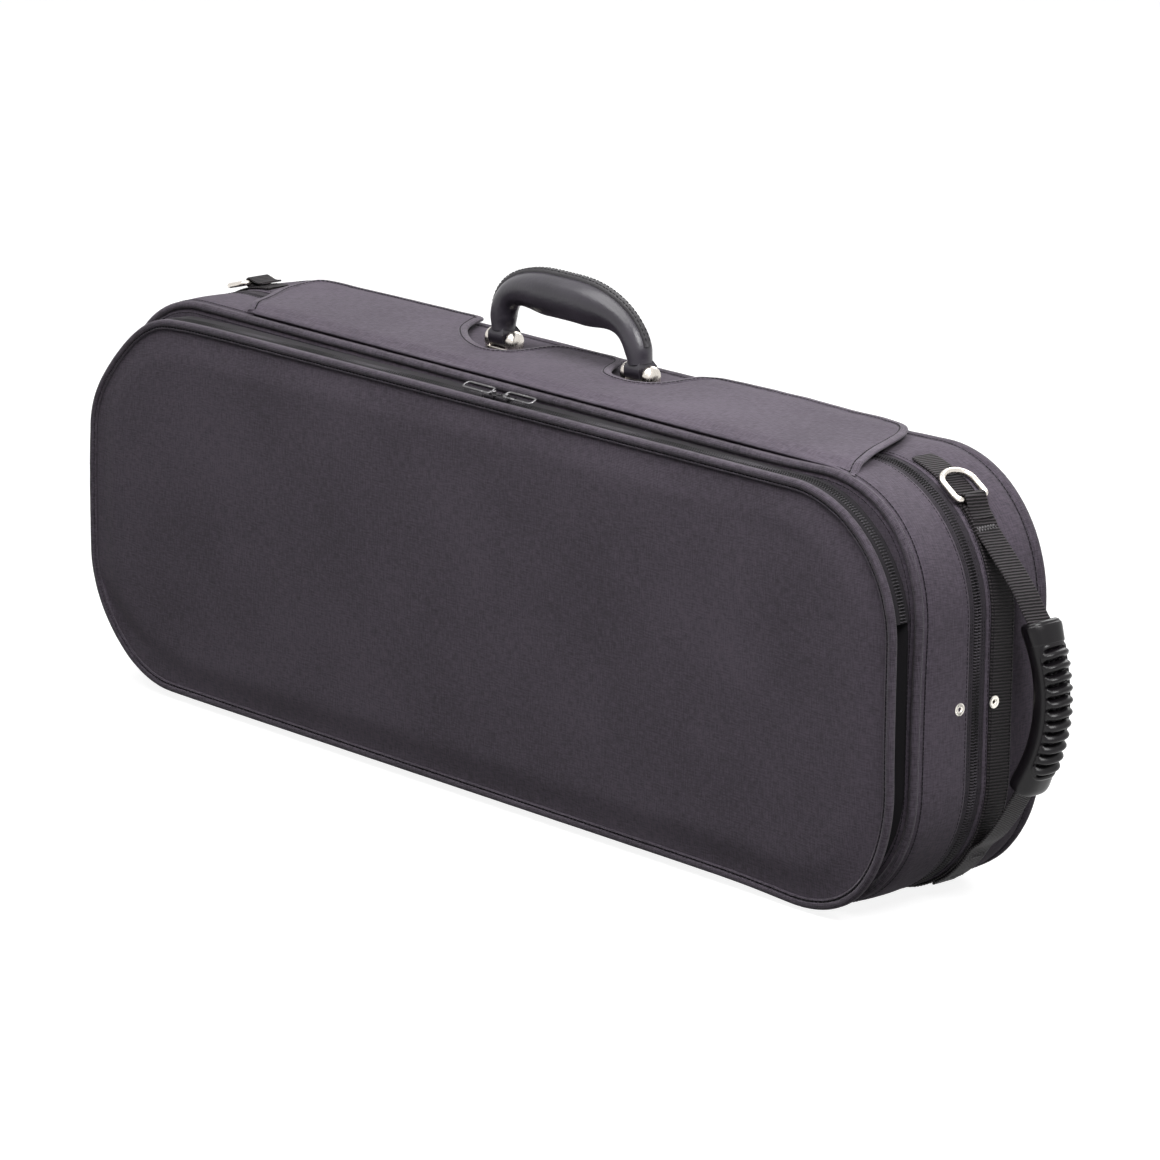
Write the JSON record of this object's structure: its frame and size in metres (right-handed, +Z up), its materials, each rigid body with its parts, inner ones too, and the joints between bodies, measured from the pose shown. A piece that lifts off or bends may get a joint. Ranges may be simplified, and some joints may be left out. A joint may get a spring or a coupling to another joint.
{
  "type": "violin case",
  "caption": "Oblong violin case with canvas covering, zipped lid, rain flap, music pocket, carrying handle, end handle and strap rings.",
  "frame": {"origin": "on the floor, under the middle of the case's length and depth, where the case stands on its hinge side", "axes": "+X along the case towards the end handle, -Y out of the lid with the music pocket, +Z up through the carrying handle"},
  "size_m": [0.853, 0.1494, 0.34],
  "materials": {
    "canvas": "woven canvas, matte",
    "shell_board": "pressed board, matte",
    "plush": "short plush over foam",
    "webbing": "ribbed webbing",
    "zip_tape": "woven tape with a nylon coil",
    "nickel": "polished nickel plate",
    "black_metal": "black enamel",
    "leather": "smooth black leather, satin",
    "rubber": "moulded black rubber, satin"
  },
  "bodies": {
    "base": {"base_shell": "shell_board", "base_cover": "canvas", "base_hinge_strip": "canvas", "back_piping": "canvas", "base_zip_tape": "zip_tape", "well_foam": "plush", "scroll_foam": "plush", "lower_block_pad": "plush", "upper_block_pad": "plush", "neck_cradle": "plush", "accessory_box": "plush", "hinge_base_leaf_left": "black_metal", "hinge_base_leaf_right": "black_metal", "handle_chape_left": "nickel", "handle_chape_right": "nickel", "handle_pin_left": "nickel", "handle_pin_right": "nickel", "end_web_band": "webbing", "left_web_patch": "webbing", "base_stay_rivet": "nickel", "loop_pad_left": "webbing", "loop_pad_right": "webbing"},
    "lid": {"lid_shell": "shell_board", "lid_cover": "canvas", "lid_hinge_strip": "canvas", "front_piping": "canvas", "lid_zip_tape": "zip_tape", "lid_lining": "plush", "hinge_lid_leaf_left": "black_metal", "hinge_lid_leaf_right": "black_metal", "lid_stay_rivet": "nickel", "lid_stay_ribbon": "webbing", "bow_tip_loop_lower": "webbing", "bow_tip_loop_upper": "webbing", "pocket_zip_rear": "zip_tape", "pocket_gusset": "canvas"},
    "flap": {"top_flap": "canvas", "flap_binding": "canvas"},
    "pocket": {"pocket_panel": "canvas", "pocket_binding": "canvas", "pocket_zip_front": "zip_tape"},
    "bow_catch_lower": {"bow_spinner_lower": "leather"},
    "bow_catch_upper": {"bow_spinner_upper": "leather"},
    "box_lid": {"accessory_lid": "plush"},
    "neck_strap_body": {"neck_strap": "webbing"},
    "handle": {"top_handle": "leather", "handle_welt": "leather"},
    "side_handle": {"end_grip": "rubber", "end_strap_upper": "webbing", "end_strap_lower": "webbing"},
    "ring_left": {"d_ring_left": "nickel"},
    "ring_right": {"d_ring_right": "nickel"},
    "main_zip_slider_left": {"main_slider_left": "black_metal"},
    "main_zip_pull_left": {"main_pull_left": "black_metal"},
    "main_zip_slider_right": {"main_slider_right": "black_metal"},
    "main_zip_pull_right": {"main_pull_right": "black_metal"},
    "pocket_zip_slider_left": {"pocket_slider_left": "black_metal"},
    "pocket_zip_pull_left": {"pocket_pull_left": "black_metal"},
    "pocket_zip_slider_right": {"pocket_slider_right": "black_metal"},
    "pocket_zip_pull_right": {"pocket_pull_right": "black_metal"}
  },
  "joints": [
    {"name": "lid_hinge", "type": "hinge", "parent": "base", "child": "lid", "pos_m": [0, -0.0045, 0.0022], "axis": [1, 0, 0], "range_deg": [0, 100], "deforming": ["lid_zip_tape", "lid_stay_ribbon"]},
    {"name": "flap_hinge", "type": "hinge", "parent": "lid", "child": "flap", "pos_m": [0, -0.05, 0.2852], "axis": [1, 0, 0], "range_deg": [0, 120], "deforming": ["top_flap", "flap_binding"]},
    {"name": "pocket_hinge", "type": "hinge", "parent": "lid", "child": "pocket", "pos_m": [0, -0.078, 0.011], "axis": [0.9998, 0.0214, 0], "range_deg": [0, 18], "deforming": ["pocket_gusset", "pocket_zip_front"]},
    {"name": "bow_spinner_lower_turn", "type": "hinge", "parent": "lid", "child": "bow_catch_lower", "pos_m": [-0.32, -0.0481, 0.084], "axis": [0, 1, 0], "range_deg": [-90, 90]},
    {"name": "bow_spinner_upper_turn", "type": "hinge", "parent": "lid", "child": "bow_catch_upper", "pos_m": [-0.32, -0.0481, 0.196], "axis": [0, 1, 0], "range_deg": [-90, 90]},
    {"name": "accessory_lid_hinge", "type": "hinge", "parent": "base", "child": "box_lid", "pos_m": [0.12, -0.0005, 0.2607], "axis": [-1, 0, 0], "range_deg": [0, 85]},
    {"name": "neck_strap_hinge", "type": "hinge", "parent": "base", "child": "neck_strap_body", "pos_m": [0.055, 0.00345, 0.1625], "axis": [-1, 0, 0], "range_deg": [0, 100]},
    {"name": "top_handle_hinge", "type": "hinge", "parent": "base", "child": "handle", "pos_m": [0.003, 0.012, 0.2905], "axis": [1, 0, 0], "range_deg": [-72, 72]},
    {"name": "end_handle_swing", "type": "hinge", "parent": "base", "child": "side_handle", "pos_m": [0.388, 0.0155, 0.142], "axis": [0, 0, 1], "range_deg": [-30, 30], "deforming": ["end_strap_upper", "end_strap_lower"]},
    {"name": "d_ring_right_swing", "type": "hinge", "parent": "base", "child": "ring_right", "pos_m": [0.37239, 0.0155, 0.26277], "axis": [0, 1, 0], "range_deg": [0, 115]},
    {"name": "d_ring_left_swing", "type": "hinge", "parent": "base", "child": "ring_left", "pos_m": [-0.33461, 0.0155, 0.28286], "axis": [0, 1, 0], "range_deg": [0, 115]},
    {"name": "main_slide_left", "type": "slide", "parent": "base", "child": "main_zip_slider_left", "axis": [-1, 0, 0], "range_m": [0, 0.27]},
    {"name": "main_pull_left_swing", "type": "hinge", "parent": "main_zip_slider_left", "child": "main_zip_pull_left", "pos_m": [0.0035, -0.0045, 0.2838], "axis": [0, 1, 0], "range_deg": [0, 90], "deforming": ["top_flap", "flap_binding"]},
    {"name": "main_slide_right", "type": "slide", "parent": "base", "child": "main_zip_slider_right", "axis": [1, 0, 0], "range_m": [0, 0.27]},
    {"name": "main_pull_right_swing", "type": "hinge", "parent": "main_zip_slider_right", "child": "main_zip_pull_right", "pos_m": [0.0165, -0.0045, 0.2838], "axis": [0, -1, 0], "range_deg": [0, 90], "deforming": ["top_flap", "flap_binding"]},
    {"name": "pocket_slide_left", "type": "slide", "parent": "lid", "child": "pocket_zip_slider_left", "axis": [-0.9998, -0.0214, 0], "range_m": [0, 0.25]},
    {"name": "pocket_pull_left_swing", "type": "hinge", "parent": "pocket_zip_slider_left", "child": "pocket_zip_pull_left", "pos_m": [0.019, -0.07109, 0.2786], "axis": [0, 1, 0], "range_deg": [0, 90]},
    {"name": "pocket_slide_right", "type": "slide", "parent": "lid", "child": "pocket_zip_slider_right", "axis": [0.9998, 0.0214, 0], "range_m": [0, 0.25]},
    {"name": "pocket_pull_right_swing", "type": "hinge", "parent": "pocket_zip_slider_right", "child": "pocket_zip_pull_right", "pos_m": [0.032, -0.07082, 0.2786], "axis": [0, -1, 0], "range_deg": [0, 90]}
  ]
}
